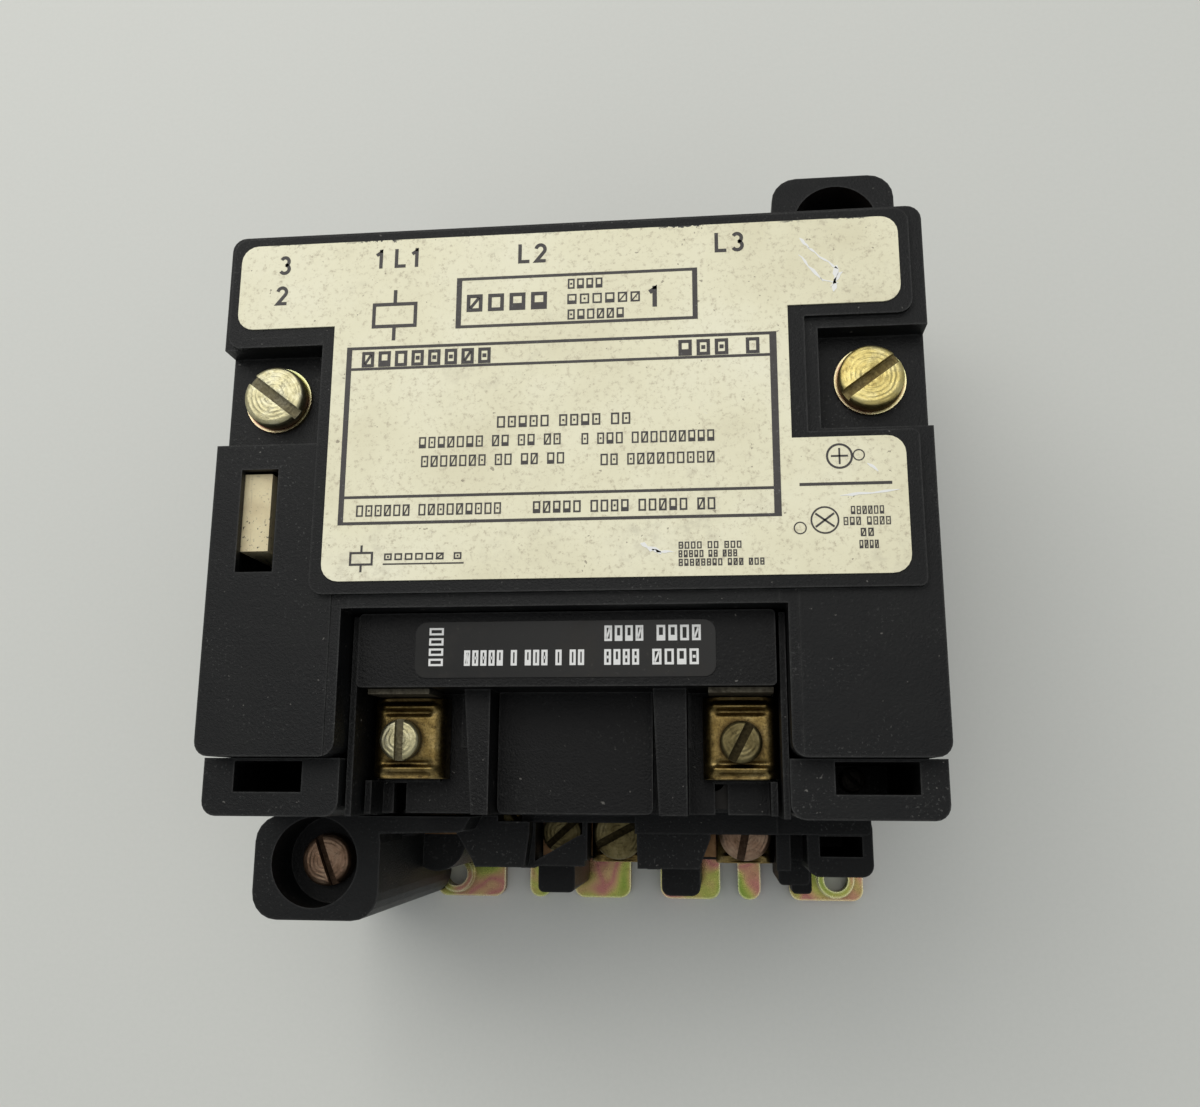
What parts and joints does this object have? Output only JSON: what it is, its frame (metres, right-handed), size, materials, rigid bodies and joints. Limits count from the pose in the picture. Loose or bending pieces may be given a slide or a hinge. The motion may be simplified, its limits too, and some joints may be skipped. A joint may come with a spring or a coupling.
{
  "type": "magnetic contactor",
  "caption": "Panel-mounted three-pole magnetic contactor with steel back plate, moulded housings, front coil terminals and a sliding contact carrier with indicator tab.",
  "frame": {"origin": "centre of the ear-screw pattern, on the panel face of the steel back plate", "axes": "+Z out of the panel towards the nameplate, +Y towards the line terminals, +X right seen from the front"},
  "size_m": [0.1, 0.119, 0.077],
  "materials": {
    "black_moulding": "moulded phenolic, fine grain",
    "coil_moulding": "encapsulated coil moulding, satin",
    "ivory_moulding": "moulded, dull",
    "zinc_yellow": "yellow chromated zinc with iridescence",
    "brass_clamp": "dull brass plating",
    "screw_zinc": "yellow zinc, worn",
    "dull_steel": "tinned strip, dull",
    "bright_steel": "bright",
    "laminated_steel": "laminated, ground faces",
    "copper_alloy": "copper alloy strip",
    "silver_tip": "silver contact tip",
    "label_print": "printed foil, worn",
    "label_black": "printed film",
    "buffer_rubber": "matt"
  },
  "bodies": {
    "frame": {"mounting_plate": "zinc_yellow", "base_housing": "black_moulding", "mounting_screws": "screw_zinc", "contact_housing": "black_moulding", "housing_screws": "bright_steel", "front_cover": "black_moulding", "nameplate": "label_print", "cover_screws": "screw_zinc", "cover_washers": "zinc_yellow", "coil": "coil_moulding", "coil_label": "label_black", "coil_strips": "dull_steel", "coil_clamps": "brass_clamp", "coil_screws": "screw_zinc", "magnet_core": "laminated_steel", "shading_rings": "copper_alloy", "magnet_pads": "buffer_rubber", "return_springs": "bright_steel", "line_contacts": "copper_alloy", "load_contacts": "copper_alloy", "fixed_tips": "silver_tip", "line_clamps": "brass_clamp", "line_screws": "screw_zinc", "load_clamps": "brass_clamp", "load_screws": "screw_zinc", "strap_screws": "screw_zinc", "aux_contacts": "copper_alloy", "aux_clamps": "brass_clamp", "aux_screws": "screw_zinc"},
    "carrier": {"contact_carrier": "ivory_moulding", "armature": "laminated_steel", "armature_pin": "bright_steel", "contact_springs": "bright_steel", "aux_spring": "bright_steel"},
    "bridges": {"contact_bridges": "copper_alloy", "bridge_tips": "silver_tip", "spring_caps": "bright_steel", "aux_bridge": "copper_alloy"}
  },
  "joints": [
    {"name": "carrier_slide", "type": "slide", "parent": "frame", "child": "carrier", "axis": [0, -1, 0], "range_m": [0, 0.004], "stiffness_N_per_m": 400, "springref_m": -0.006, "deforming": ["return_springs"]},
    {"name": "bridge_slide", "type": "slide", "parent": "carrier", "child": "bridges", "axis": [0, 1, 0], "range_m": [0, 0.00133], "deforming": ["contact_springs", "aux_spring"]}
  ],
  "couplings": [
    {"joint": "bridge_slide", "follows": "carrier_slide", "ratio": 0.3333}
  ]
}
